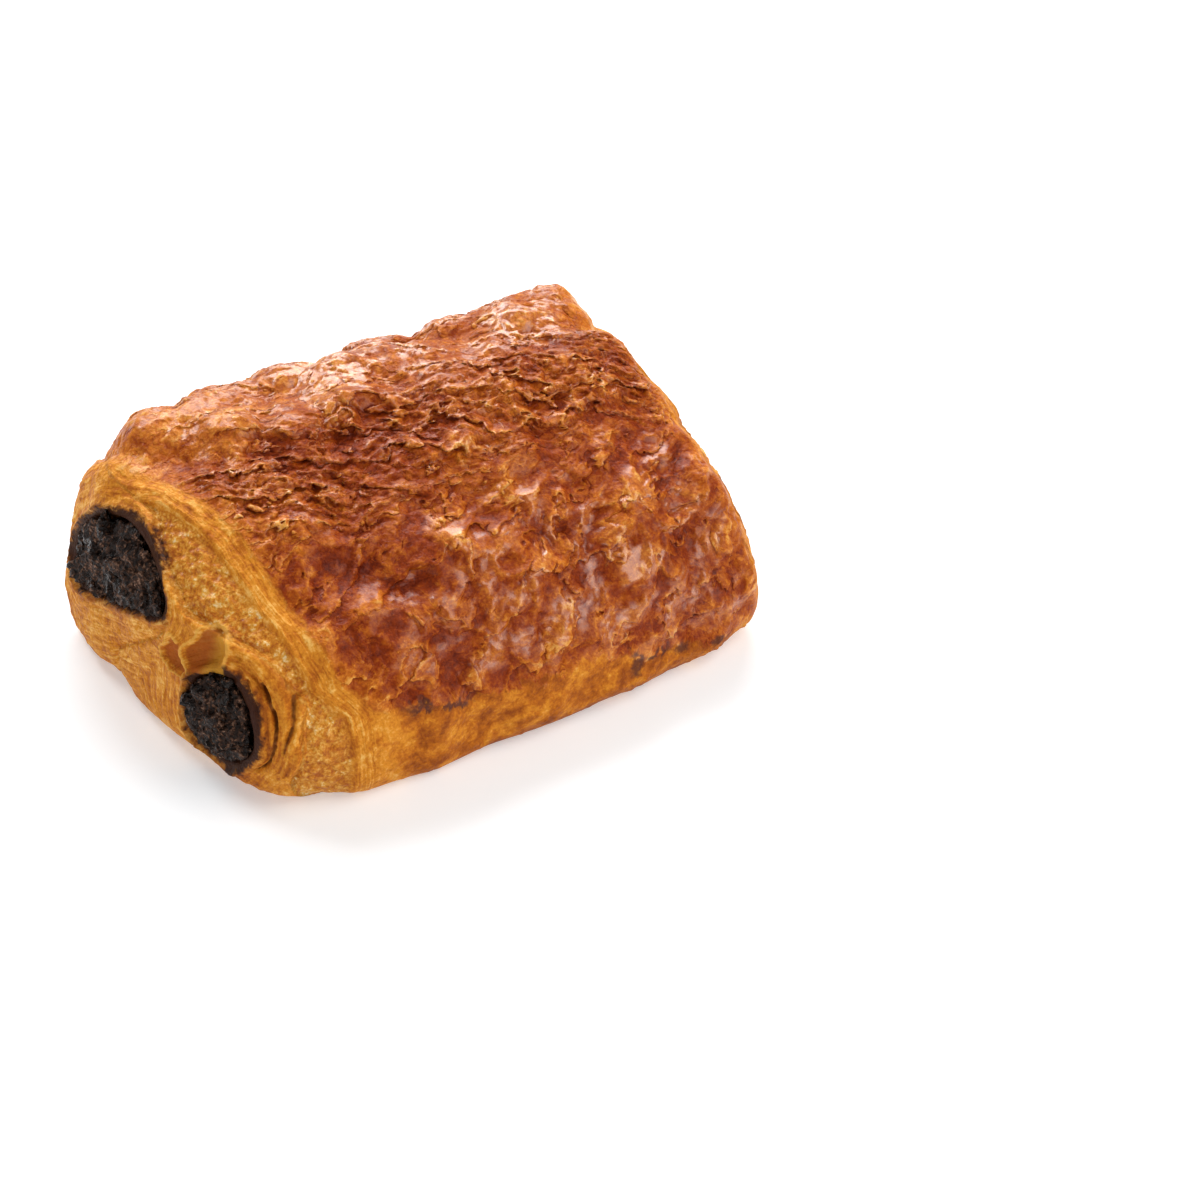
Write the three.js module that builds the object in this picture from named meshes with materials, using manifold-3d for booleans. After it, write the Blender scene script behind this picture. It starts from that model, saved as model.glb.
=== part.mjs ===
// Pain au chocolat: one baked roll of laminated dough around two bars of dark chocolate.
// Millimetres. X runs along the roll from cut end to cut end, Y from the front fold (-Y) to the
// rear coil (+Y), Z up. The origin is on the resting plane, under the middle of the roll.
import * as THREE from 'three';
import { mergeVertices } from 'three/addons/utils/BufferGeometryUtils.js';
import Module from 'manifold-3d';

// ---------------------------------------------------------------- driving dimensions
const LENGTH = 110; // between the tips of the two bulging cut ends
const AXIS = { y: 2, z: 20 }; // the line that the roll is wound about
const CLEARANCE = 0.3; // air between the dough and the chocolate

const AROUND = 48; // facets round the roll
const ALONG = 12; // bands along its straight part
const BAR_SIDES = 30;
const END_RINGS = [0.3, 0.55, 0.75, 0.88, 0.96, 0.995]; // share of the full section
const END_ROUNDNESS = 2.4; // power of the rounded end: 2 is an ellipse, more is squarer

// The section of the roll, as [y, z], from the rear foot over the crest to the front.
const SECTION = [
  [25, 0], // rear foot
  [36, 2.5],
  [39.8, 13], // belly of the rear coil
  [39, 29],
  [29.5, 44], // crest
  [15, 45],
  [0, 41.3],
  [-14, 36],
  [-28, 29], // shoulder of the front slope
  [-36.3, 20],
  [-40.2, 11], // front fold
  [-36, 3],
  [-26, 0], // front edge of the flat base
  [-6, 0],
  [8, 0], // rear edge of the flat base
  [16, 2.2], // seam where the coil was closed
];

// How far a cut end rounds back from its tip, as [direction in degrees, millimetres].
// Directions are seen along X: 0 is the rear, 90 is up and 180 is the front.
const NEAR_ROUNDING = [
  [0, 8],
  [25, 12],
  [45, 16],
  [110, 16],
  [150, 16],
  [180, 14],
  [215, 11],
  [250, 5],
  [290, 3],
  [340, 4],
];
const FAR_ROUNDING = [
  [0, 9],
  [45, 10],
  [90, 11],
  [130, 11],
  [180, 9],
  [215, 7],
  [250, 5],
  [290, 3],
  [330, 5],
];

// How much the section draws in at each cut end, as a share of its size there.
const TAPER = {
  near: { front: 0.18, rear: 0.02, top: 0.07 },
  far: { front: 0.07, rear: 0.05, top: 0.07 },
  power: 2.6, // how late along the roll it starts
  reach: 35, // distance from the axis at which the front and rear tapers are whole
};

// The chocolate bars. The outline is the melted section at a cut end, as [y, z], and the rest of
// the bar is the same section drawn in about its centre.
const FLARE = { middle: 0.5, depth: 16 }; // middle's share of the end size, length of the flare
const BARS = [
  {
    name: 'chocolate_bar_rear',
    centre: { y: 14.5, z: 26 },
    outline: [
      [32, 20],
      [27, 27.6],
      [19.5, 34.4],
      [10.5, 37.2],
      [1.5, 34.4],
      [-5, 28],
      [2, 24.6],
      [11, 20.8],
      [22, 16.4],
      [30, 14.4],
    ],
  },
  {
    name: 'chocolate_bar_front',
    centre: { y: -19.8, z: 14 },
    outline: [
      [-11.4, 12],
      [-13.2, 18.5],
      [-16.4, 22],
      [-20.5, 24],
      [-24.6, 22],
      [-28, 16.5],
      [-28, 10.5],
      [-21, 4.4],
      [-15.2, 3.8],
      [-11.4, 6],
    ],
  },
];

// ---------------------------------------------------------------- small helpers
const half = LENGTH / 2;
const clamp = (value, low, high) => Math.min(high, Math.max(low, value));
const mix = (a, b, t) => a + (b - a) * t;

// Reads a table of [degrees, value] pairs that closes on itself.
function readAround(table, degrees) {
  const turn = ((degrees % 360) + 360) % 360;
  const closed = [...table, [table[0][0] + 360, table[0][1]]];
  for (let i = 1; i < closed.length; i += 1) {
    const [from, low] = closed[i - 1];
    const [to, high] = closed[i];
    if (turn <= to) {
      return mix(low, high, (turn - from) / (to - from));
    }
  }
  return table[0][1];
}

// Points on a smooth closed curve through the given ones.
function outlinePoints(points, count) {
  const knots = points.map(([y, z]) => new THREE.Vector3(0, y, z));
  const curve = new THREE.CatmullRomCurve3(knots, true, 'catmullrom', 0.5);
  return Array.from({ length: count }, (_, i) => curve.getPoint(i / count));
}

// Joins equal rings of points into one closed body, with a fan over each end.
// Points run anticlockwise seen from +X, and the rings run from -X to +X.
function loft(rings, firstTip, lastTip) {
  const sides = rings[0].length;
  const points = [...rings.flat(), firstTip, lastTip];
  const faces = [];
  for (let ring = 0; ring + 1 < rings.length; ring += 1) {
    for (let i = 0; i < sides; i += 1) {
      const next = (i + 1) % sides;
      const a = ring * sides + i;
      const b = ring * sides + next;
      const c = a + sides;
      const d = b + sides;
      faces.push(a, d, c, a, b, d);
    }
  }
  const first = points.length - 2;
  const last = points.length - 1;
  const lastRing = (rings.length - 1) * sides;
  for (let i = 0; i < sides; i += 1) {
    const next = (i + 1) % sides;
    faces.push(first, next, i);
    faces.push(last, lastRing + i, lastRing + next);
  }
  const geometry = new THREE.BufferGeometry();
  geometry.setAttribute('position', new THREE.Float32BufferAttribute(points.flat(), 3));
  geometry.setIndex(faces);
  return geometry;
}

// ---------------------------------------------------------------- the roll
const sectionPoints = outlinePoints(SECTION, AROUND).map(({ y, z }) => ({ y, z: Math.max(0, z) }));

// One point of the roll's skin: k shrinks the section towards the axis.
function skinPoint(section, x, k) {
  const taper = x < 0 ? TAPER.near : TAPER.far;
  const strength = Math.abs(x / half) ** TAPER.power;
  const front = clamp(-section.y / TAPER.reach, 0, 1);
  const rear = clamp(section.y / TAPER.reach, 0, 1);
  const y = section.y * (1 - (taper.front * front + taper.rear * rear) * strength);
  const z = section.z * (1 - taper.top * strength);
  return [x, mix(AXIS.y, y, k), mix(AXIS.z, z, k)];
}

function direction(section) {
  return THREE.MathUtils.radToDeg(Math.atan2(section.z - AXIS.z, section.y - AXIS.y));
}

function endRing(sign, table, k) {
  const back = 1 - (1 - k ** END_ROUNDNESS) ** (1 / END_ROUNDNESS);
  return sectionPoints.map((section) => {
    const depth = readAround(table, direction(section));
    return skinPoint(section, sign * (half - depth * back), k);
  });
}

function bodyRing(t) {
  return sectionPoints.map((section) => {
    const from = -half + readAround(NEAR_ROUNDING, direction(section));
    const to = half - readAround(FAR_ROUNDING, direction(section));
    return skinPoint(section, mix(from, to, t), 1);
  });
}

function makeRoll() {
  const nearRings = END_RINGS.map((k) => endRing(-1, NEAR_ROUNDING, k));
  const bodyRings = Array.from({ length: ALONG + 1 }, (_, i) => bodyRing(i / ALONG));
  const farRings = [...END_RINGS].reverse().map((k) => endRing(1, FAR_ROUNDING, k));
  const rings = [...nearRings, ...bodyRings, ...farRings];
  return loft(rings, [-half, AXIS.y, AXIS.z], [half, AXIS.y, AXIS.z]);
}

// ---------------------------------------------------------------- the chocolate
// A bar longer than the roll, swelled over the last stretch before each cut end.
function makeLongBar(bar, extra) {
  const beyond = 4;
  const flareSteps = [0, 0.3, 0.6, 0.8, 1];
  const nearPlaces = flareSteps.map((t) => -half + FLARE.depth * t);
  const places = [
    -half - beyond,
    ...nearPlaces,
    ...[...nearPlaces].reverse().map((x) => -x),
    half + beyond,
  ];
  const { y, z } = bar.centre;
  const points = outlinePoints(bar.outline, BAR_SIDES);
  const rings = places.map((x) => {
    const inside = clamp((half - Math.abs(x)) / FLARE.depth, 0, 1);
    const share = mix(1, FLARE.middle, THREE.MathUtils.smoothstep(inside, 0, 1));
    return points.map((point) => {
      const out = share + extra / Math.hypot(point.y - y, point.z - z);
      return [x, y + (point.y - y) * out, z + (point.z - z) * out];
    });
  });
  return loft(rings, [-half - beyond, y, z], [half + beyond, y, z]);
}

// ---------------------------------------------------------------- joins and cuts
const wasm = await Module();
wasm.setup();

function toSolid(geometry) {
  const merged = mergeVertices(geometry);
  return new wasm.Manifold(
    new wasm.Mesh({
      numProp: 3,
      vertProperties: new Float32Array(merged.attributes.position.array),
      triVerts: new Uint32Array(merged.index.array),
    }),
  );
}

function toGeometry(solid) {
  const mesh = solid.getMesh();
  const geometry = new THREE.BufferGeometry();
  geometry.setAttribute('position', new THREE.BufferAttribute(mesh.vertProperties, 3));
  geometry.setIndex(new THREE.BufferAttribute(mesh.triVerts, 1));
  return geometry;
}

function addPiece(group, name, solid, material) {
  const mesh = new THREE.Mesh(toGeometry(solid), material);
  mesh.name = name;
  group.add(mesh);
}

// ---------------------------------------------------------------- the assembly
const doughFinish = new THREE.MeshStandardMaterial({
  color: 0xb0591c,
  roughness: 0.4,
  metalness: 0,
});
const chocolateFinish = new THREE.MeshStandardMaterial({
  color: 0x1d100e,
  roughness: 0.5,
  metalness: 0,
});

const painAuChocolat = new THREE.Group();
const roll = toSolid(makeRoll());
let dough = roll;
for (const bar of BARS) {
  dough = dough.subtract(toSolid(makeLongBar(bar, CLEARANCE)));
}
addPiece(painAuChocolat, 'baked_dough', dough, doughFinish);
for (const bar of BARS) {
  const chocolate = toSolid(makeLongBar(bar, 0)).intersect(roll);
  addPiece(painAuChocolat, bar.name, chocolate, chocolateFinish);
}

export default painAuChocolat;
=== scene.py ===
"""The looks of a pain au chocolat: crust, cut ends and chocolate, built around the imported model."""

import math

import bmesh
import bpy
import numpy as np
from mathutils import Matrix, Vector


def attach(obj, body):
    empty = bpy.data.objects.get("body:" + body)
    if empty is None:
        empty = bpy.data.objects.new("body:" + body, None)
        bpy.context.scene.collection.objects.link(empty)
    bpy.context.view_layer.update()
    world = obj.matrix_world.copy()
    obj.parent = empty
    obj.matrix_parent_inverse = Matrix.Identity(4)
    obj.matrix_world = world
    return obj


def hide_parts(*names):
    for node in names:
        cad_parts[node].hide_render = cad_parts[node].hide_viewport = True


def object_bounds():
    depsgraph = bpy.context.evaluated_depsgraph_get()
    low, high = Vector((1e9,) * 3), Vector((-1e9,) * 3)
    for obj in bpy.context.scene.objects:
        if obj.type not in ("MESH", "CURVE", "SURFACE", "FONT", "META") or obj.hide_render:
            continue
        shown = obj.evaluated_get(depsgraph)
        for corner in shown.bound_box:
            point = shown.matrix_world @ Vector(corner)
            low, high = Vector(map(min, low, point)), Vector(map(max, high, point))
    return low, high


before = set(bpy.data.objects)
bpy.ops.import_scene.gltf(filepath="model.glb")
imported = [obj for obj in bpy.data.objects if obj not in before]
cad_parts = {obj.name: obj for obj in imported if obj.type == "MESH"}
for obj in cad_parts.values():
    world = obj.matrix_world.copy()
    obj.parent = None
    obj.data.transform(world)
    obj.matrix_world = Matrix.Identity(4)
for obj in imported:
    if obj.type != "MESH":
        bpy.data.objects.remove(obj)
cad_low, cad_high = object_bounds()

MM = 0.001  # metres in a millimetre

# ------------------------------------------------------------------ what the looks are built from
FINE_VOXEL = 0.4 * MM  # grain of the crust's mesh
FORM_VOXEL = 0.8 * MM  # grain of the form that the facets are smoothed out of
FORM_SMOOTHING = 12
MOST_TRIANGLES = 190_000
CHOCOLATE_VOXEL = 0.5 * MM
CHOCOLATE_TRIANGLES = 60_000

HALF_LENGTH = cad_high.x / MM
AXIS_Y, AXIS_Z = 2.0, 20.0  # the line that the roll is wound about, in mm

BARS = ("chocolate_bar_rear", "chocolate_bar_front")


# ------------------------------------------------------------------ node trees as expressions
class Value:
    """A node's output that Python arithmetic works on by adding Math nodes."""

    def __init__(self, net, socket):
        self.net = net
        self.socket = socket

    def __add__(self, other):
        return self.net.math("ADD", self, other)

    __radd__ = __add__

    def __mul__(self, other):
        return self.net.math("MULTIPLY", self, other)

    __rmul__ = __mul__

    def __sub__(self, other):
        return self.net.math("SUBTRACT", self, other)

    def __rsub__(self, other):
        return self.net.math("SUBTRACT", other, self)

    def __truediv__(self, other):
        return self.net.math("DIVIDE", self, other)

    def __rtruediv__(self, other):
        return self.net.math("DIVIDE", other, self)

    def __neg__(self):
        return self.net.math("MULTIPLY", self, -1.0)

    def __abs__(self):
        return self.net.math("ABSOLUTE", self)


class Net:
    """A node tree under construction."""

    def __init__(self, tree):
        self.tree = tree
        tree.nodes.clear()

    def node(self, kind, settings=None, inputs=None, output=0):
        """Adds one node: its settings first, then the values or links of its sockets."""
        made = self.tree.nodes.new(kind)
        for name, value in (settings or {}).items():
            if name == "stops":
                self._set_stops(made.color_ramp, value)
            else:
                setattr(made, name, value)
        for key, value in (inputs or {}).items():
            self.feed(made.inputs[key], value)
        if output is None:
            return made
        return Value(self, made.outputs[output])

    def feed(self, socket, value):
        if isinstance(value, Value):
            self.tree.links.new(value.socket, socket)
        else:
            socket.default_value = value

    @staticmethod
    def _set_stops(ramp, stops):
        while len(ramp.elements) < len(stops):
            ramp.elements.new(0.5)
        for element, (place, colour) in zip(ramp.elements, stops):
            element.position = place
            element.color = (*colour, 1.0)

    def math(self, operation, a, b=0.0):
        return self.node("ShaderNodeMath", {"operation": operation}, {0: a, 1: b})

    def smaller(self, a, b):
        return self.math("MINIMUM", a, b)

    def larger(self, a, b):
        return self.math("MAXIMUM", a, b)

    def step(self, value, low, high):
        """0 below low, 1 above high, smooth between. low may be above high."""
        settings = {"interpolation_type": "SMOOTHSTEP", "clamp": True}
        inputs = {"Value": value, "From Min": low, "From Max": high}
        if low > high:
            inputs = {"Value": value, "From Min": high, "From Max": low, "To Min": 1.0, "To Max": 0.0}
        return self.node("ShaderNodeMapRange", settings, inputs)

    def within(self, value, start, whole, still_whole, end):
        """0 up to start, 1 from whole to still_whole, and 0 again from end on."""
        return self.step(value, start, whole) * self.step(value, end, still_whole)

    def vector(self, operation, a, b=None, scale=None, output=0):
        inputs = {0: a}
        if b is not None:
            inputs[1] = b
        if scale is not None:
            inputs["Scale"] = scale
        return self.node("ShaderNodeVectorMath", {"operation": operation}, inputs, output)

    def axis(self, vector, index):
        """The vector's X, Y or Z, as 0, 1 or 2."""
        return self.node("ShaderNodeSeparateXYZ", None, {0: vector}, index)

    def combine(self, x, y, z):
        return self.node("ShaderNodeCombineXYZ", None, {0: x, 1: y, 2: z})

    def noise(self, place, size, detail=2.0, roughness=0.5, output=0):
        """Noise from 0 to 1 whose blobs are about size wide, in the units of place."""
        inputs = {"Vector": place, "Scale": 1.0 / size, "Detail": detail, "Roughness": roughness}
        return self.node("ShaderNodeTexNoise", None, inputs, output)

    def ridges(self, place, size, detail=2.0, roughness=0.5):
        """Noise with sharp crests, from about -1 in its valleys to 0.9 on the highest crests."""
        settings = {"noise_type": "RIDGED_MULTIFRACTAL", "normalize": False}
        inputs = {
            "Vector": place,
            "Scale": 1.0 / size,
            "Detail": detail,
            "Roughness": roughness,
            "Offset": 1.0,
            "Gain": 1.0,
        }
        return self.node("ShaderNodeTexNoise", settings, inputs) - 1.0

    def stray(self, place, size, reach):
        """The place pushed about by up to half of reach, in swirls about size wide."""
        push = self.vector("SUBTRACT", self.noise(place, size, output="Color"), (0.5, 0.5, 0.5))
        return self.vector("ADD", place, self.vector("SCALE", push, scale=reach))

    def cells(self, place, size, output="Distance"):
        """What a Voronoi texture whose cells are about size wide says of the nearest cell."""
        inputs = {"Vector": place, "Scale": 1.0 / size}
        return self.node("ShaderNodeTexVoronoi", None, inputs, output)

    def blend(self, share, a, b):
        """The colour a, or b where share is 1."""
        settings = {"data_type": "RGBA", "clamp_factor": True}
        return self.node("ShaderNodeMix", settings, {0: share, 6: colour(a), 7: colour(b)}, 2)


def colour(value):
    return value if isinstance(value, Value) else (*value, 1.0)


def toward(a, b, share):
    """From a to b as share goes from 0 to 1."""
    return a + (b - a) * share


# ------------------------------------------------------------------ mesh helpers
def new_object(name, mesh):
    made = bpy.data.objects.new(name, mesh)
    bpy.context.scene.collection.objects.link(made)
    return made


def bake_modifiers(obj):
    """Turns what the modifiers make into the object's own plain mesh."""
    graph = bpy.context.evaluated_depsgraph_get()
    mesh = bpy.data.meshes.new_from_object(obj.evaluated_get(graph))
    obj.modifiers.clear()
    old = obj.data
    obj.data = mesh
    bpy.data.meshes.remove(old)
    mesh.name = obj.name


def points_of(mesh):
    """The mesh's points as an array of rows, in mm."""
    flat = np.empty(len(mesh.vertices) * 3, np.float32)
    mesh.vertices.foreach_get("co", flat)
    return flat.reshape(-1, 3).astype(float) / MM


def store(mesh, name, values):
    attribute = mesh.attributes.get(name) or mesh.attributes.new(name, "FLOAT", "POINT")
    attribute.data.foreach_set("value", values.astype(np.float32))


def merged_copy(node):
    """A CAD node's mesh with its loose triangles joined up."""
    made = bmesh.new()
    made.from_mesh(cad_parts[node].data)
    bmesh.ops.remove_doubles(made, verts=made.verts, dist=0.01 * MM)
    return made


def remesh(obj, voxel):
    modifier = obj.modifiers.new("remesh", "REMESH")
    modifier.mode = "VOXEL"
    modifier.voxel_size = voxel
    modifier.adaptivity = 0.0
    bake_modifiers(obj)


def smooth(obj, rounds):
    modifier = obj.modifiers.new("smooth", "SMOOTH")
    modifier.factor = 0.5
    modifier.iterations = rounds
    bake_modifiers(obj)


def thin_out(obj, most):
    triangles = sum(len(face.vertices) - 2 for face in obj.data.polygons)
    if triangles <= most:
        return
    modifier = obj.modifiers.new("thin", "DECIMATE")
    modifier.ratio = most / triangles
    bake_modifiers(obj)


def shade_smooth(obj):
    obj.data.polygons.foreach_set("use_smooth", [True] * len(obj.data.polygons))


# ------------------------------------------------------------------ material helpers
def new_material(name):
    material = bpy.data.materials.new(name)
    material.use_nodes = True
    return material, Net(material.node_tree)


def stored(net, name):
    return net.node("ShaderNodeAttribute", {"attribute_name": name}, None, "Fac")


def object_place(net):
    """Where a point is on the piece, in mm."""
    coordinates = net.node("ShaderNodeTexCoord", None, None, "Object")
    return net.vector("SCALE", coordinates, scale=1 / MM)


def ramp(net, place, stops):
    return net.node("ShaderNodeValToRGB", {"stops": stops}, {"Fac": place})


def finish_material(net, inputs):
    """Feeds the material's one shader and its output."""
    shader = net.node("ShaderNodeBsdfPrincipled", None, inputs, None)
    net.node("ShaderNodeOutputMaterial", None, {0: Value(net, shader.outputs[0])}, None)


def bumped(net, height, strength):
    """The normal tilted by a relief in mm."""
    inputs = {"Height": height, "Strength": strength, "Distance": MM}
    return net.node("ShaderNodeBump", None, inputs)


# ------------------------------------------------------------------ camera and light
CAMERA_AZIMUTH = -34.0  # degrees round from the front
CAMERA_ELEVATION = 37.0
CAMERA_DISTANCE = 0.6626
CAMERA_AIM = (0.0334, 0.0044)  # how far right of and above the origin it looks, in metres
CAMERA_LENS = 108.2
SENSOR = 36.0

WORLD_STRENGTH = 0.22
FLOOR_GLOW = 0.335  # near the roll; painted light, the floor glowing like a light table
FLOOR_TONE = (0.71, 0.74, 0.77)
FLOOR_FADE = (0.25, 1.1)  # where its glow starts to rise and is whole, in metres from the roll
FLOOR_HALF_WIDTH = 12.0
WHITE = (1.0, 1.0, 1.0)
WARM = (1.0, 0.93, 0.87)
LIGHT_TARGET = (0.0, 0.0, 0.02)
LIGHTS = [  # name, place in metres, width, height, watts, colour
    ("back softbox", (0.30, 0.52, 0.46), 0.6, 0.4, 6.0, WHITE),
    ("key light", (-0.14, 0.44, 0.54), 0.2, 0.2, 2.0, WHITE),
    ("top softbox", (0.34, -0.32, 0.50), 0.5, 0.5, 2.9, WARM),
    ("front fill", (0.34, -0.60, 0.30), 0.5, 0.4, 1.0, WARM),
    ("end fill", (-0.62, -0.20, 0.20), 0.4, 0.3, 1.05, WHITE),
]


def camera_axes():
    a, e = math.radians(CAMERA_AZIMUTH), math.radians(CAMERA_ELEVATION)
    right = Vector((math.cos(a), math.sin(a), 0))
    up = Vector((-math.sin(a) * math.sin(e), math.cos(a) * math.sin(e), math.cos(e)))
    ahead = Vector((-math.sin(a) * math.cos(e), math.cos(a) * math.cos(e), -math.sin(e)))
    return right, up, ahead


def make_camera():
    right, up, ahead = camera_axes()
    data = bpy.data.cameras.new("camera")
    data.lens = CAMERA_LENS
    data.sensor_width = SENSOR
    made = new_object("camera", data)
    aim = right * CAMERA_AIM[0] + up * CAMERA_AIM[1]
    turn = Matrix((right, up, -ahead)).transposed()
    made.matrix_world = Matrix.Translation(aim - ahead * CAMERA_DISTANCE) @ turn.to_4x4()
    bpy.context.scene.camera = made


def area_light(name, place, width, height, power, tint):
    data = bpy.data.lights.new(name, "AREA")
    data.shape = "RECTANGLE"
    data.size = width
    data.size_y = height
    data.energy = power
    data.color = tint
    made = new_object(name, data)
    made.location = place
    way = Vector(LIGHT_TARGET) - Vector(place)
    made.rotation_euler = way.to_track_quat("-Z", "Y").to_euler()


def floor_material():
    """White paper with painted light: it glows, and glows more away from the roll, so that it meets
    the white around it.
    """
    material, net = new_material("floor")
    coordinates = net.node("ShaderNodeTexCoord", None, None, "Object")
    away = net.step(net.vector("LENGTH", coordinates, output="Value"), *FLOOR_FADE)
    near_glow = (FLOOR_GLOW, FLOOR_GLOW, FLOOR_GLOW)
    inputs = {
        "Base Color": (*FLOOR_TONE, 1.0),
        "Roughness": 0.7,
        "Emission Color": net.blend(away, near_glow, WHITE),
        "Emission Strength": 1.0,
    }
    finish_material(net, inputs)
    return material


def make_studio():
    world = bpy.data.worlds.new("studio")
    bpy.context.scene.world = world
    world.use_nodes = True
    background = world.node_tree.nodes["Background"]
    background.inputs["Color"].default_value = (*WHITE, 1.0)
    background.inputs["Strength"].default_value = WORLD_STRENGTH
    for light in LIGHTS:
        area_light(*light)

    floor = bmesh.new()
    bmesh.ops.create_grid(floor, x_segments=1, y_segments=1, size=FLOOR_HALF_WIDTH)
    mesh = bpy.data.meshes.new("floor")
    floor.to_mesh(mesh)
    floor.free()
    made = new_object("floor", mesh)
    mesh.materials.append(floor_material())

    bpy.context.scene.view_settings.view_transform = "Standard"


# ------------------------------------------------------------------ where things are on the dough
# Round the roll, directions are in degrees seen along X: 0 is the rear, 90 up, 180 the front.
# Each table runs [direction, X in mm].
NEAR_GLAZE_EDGE = [
    (0, -47), (50, -46.5), (68, -42.5), (84, -39.8), (105, -38), (145, -37.4), (160, -36),
    (176, -35), (184, -31), (250, -31), (330, -47),
]
FAR_GLAZE_EDGE = [(0, 50), (45, 51), (90, 51), (150, 50), (190, 49), (330, 50)]
# Where the brushing stops low on the front, as [X, height].
FRONT_GLAZE_FOOT = [
    (-55, 20), (-33, 18), (-26, 16), (-13, 13.3), (0, 12.3), (9, 13), (17, 11), (27, 7.3),
    (36, 5.5), (55, 5),
]
REAR_GLAZE_FOOT = 13.0

# The inner border of the outer wrap on a cut end, as [Y, Z].
WRAP_BORDER = [
    (22, 40), (9.3, 39.6), (4.6, 37.3), (-0.7, 34.2), (-5.2, 32.3), (-9.8, 30.1), (-17, 29.3),
    (-25.1, 27.3), (-31.4, 21.8), (-33.6, 17.7), (-35.4, 12.1), (-34, 7.5),
]
# Slits between the layers of the near cut end, the crease between the rear coil and the wrap
# beneath it, and two pinholes, each as its line, depth and half width.
SLITS = [
    ([(-26.5, 24), (-30.2, 19), (-31.6, 14.5), (-30.6, 9.5), (-28, 7)], 1.7, 0.32),
    ([(-24.5, 24), (-27.6, 19.5), (-29, 15)], 0.9, 0.28),
    ([(-30.6, 22.4), (-32.8, 17.5), (-33.2, 13)], 1.3, 0.3),
    ([(-21, 27.5), (-25, 25), (-28, 21.5)], 0.8, 0.28),
    ([(15, -1), (13.4, 8), (10, 12), (6, 15), (1, 19), (-4, 23), (-6, 27)], 0.9, 0.7),
    ([(11.3, 14.4), (11.3, 14.6)], 1.8, 0.4),
    ([(7.5, 13.3), (7.5, 13.5)], 1.8, 0.4),
]
# Pockets where the layers parted above the front bar: centre, radius and depth.
POCKETS = [((-8.8, 21.6), 3.4, 1.3), ((-16.2, 25.2), 4.2, 2.2)]
POCKET_RIM_HEIGHT = 0.55
CUT_END_FROM = 36.0  # the marks of a cut end are only drawn further out along the roll than this
FAR_OFF = 40.0  # a distance for where there is no line
EDGE_LAYERS_AT = 20.0  # flow at the glaze's edge, beyond any that the coils reach
# The melted bars at a cut end, as [Y, Z], anticlockwise seen from +X: what the channels are cut to.
BAR_OUTLINES = [
    [
        (32, 20), (27, 27.6), (19.5, 34.4), (10.5, 37.2), (1.5, 34.4), (-5, 28), (2, 24.6),
        (11, 20.8), (22, 16.4), (30, 14.4),
    ],
    [
        (-11.4, 12), (-13.2, 18.5), (-16.4, 22), (-20.5, 24), (-24.6, 22), (-28, 16.5),
        (-28, 10.5), (-21, 4.4), (-15.2, 3.8), (-11.4, 6),
    ],
]


def read_round(table, degrees):
    """Reads a table of [direction, value] that closes on itself."""
    places = np.array([row[0] for row in table], float)
    values = np.array([row[1] for row in table], float)
    return np.interp(degrees % 360, np.append(places, places[0] + 360), np.append(values, values[0]))


def read_along(table, x):
    return np.interp(x, [row[0] for row in table], [row[1] for row in table])


def curve_points(points, closed=False, steps=8):
    """Points along a smooth curve through the given ones."""
    if closed:
        given = np.array([points[-1], *points, points[0], points[1]], float)
    else:
        given = np.array([points[0], *points, points[-1]], float)
    made = []
    for i in range(1, len(given) - 2):
        p0, p1, p2, p3 = given[i - 1 : i + 3]
        for t in np.arange(steps) / steps:
            bend = (2 * p0 - 5 * p1 + 4 * p2 - p3) * t**2 + (3 * p1 - p0 - 3 * p2 + p3) * t**3
            made.append(p1 + 0.5 * ((p2 - p0) * t + bend))
    made.append(given[-2])
    return np.array(made)


def distance_to_curve(places, points):
    """How far each place is from a curve, and on which side: positive on its right."""
    nearest = np.full(len(places), 1e9)
    side = np.ones(len(places))
    for start, stop in zip(points[:-1], points[1:]):
        way = stop - start
        offset = places - start
        share = np.clip(offset @ way / max(way @ way, 1e-9), 0, 1)
        gap = np.linalg.norm(offset - share[:, None] * way, axis=1)
        closer = gap < nearest
        nearest[closer] = gap[closer]
        side[closer] = np.sign(way[1] * offset[closer, 0] - way[0] * offset[closer, 1])
    return nearest, side


def sweep_round(x, section, degrees):
    """How far round the skin each place is from under the axis, past the rear, top and front."""
    turned = (degrees - 270) % 360
    radius = np.hypot(section[:, 0] - AXIS_Y, section[:, 1] - AXIS_Z)
    middle = np.abs(x) < 15
    stations = np.arange(0, 361, 6)
    sizes = [radius[middle & (np.abs(turned - at % 360) < 3.5)].max() for at in stations]
    lengths = np.hypot(np.radians(6) * np.array(sizes[:-1]), np.diff(sizes))
    return np.interp(turned, stations, np.append(0, np.cumsum(lengths)))


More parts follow.
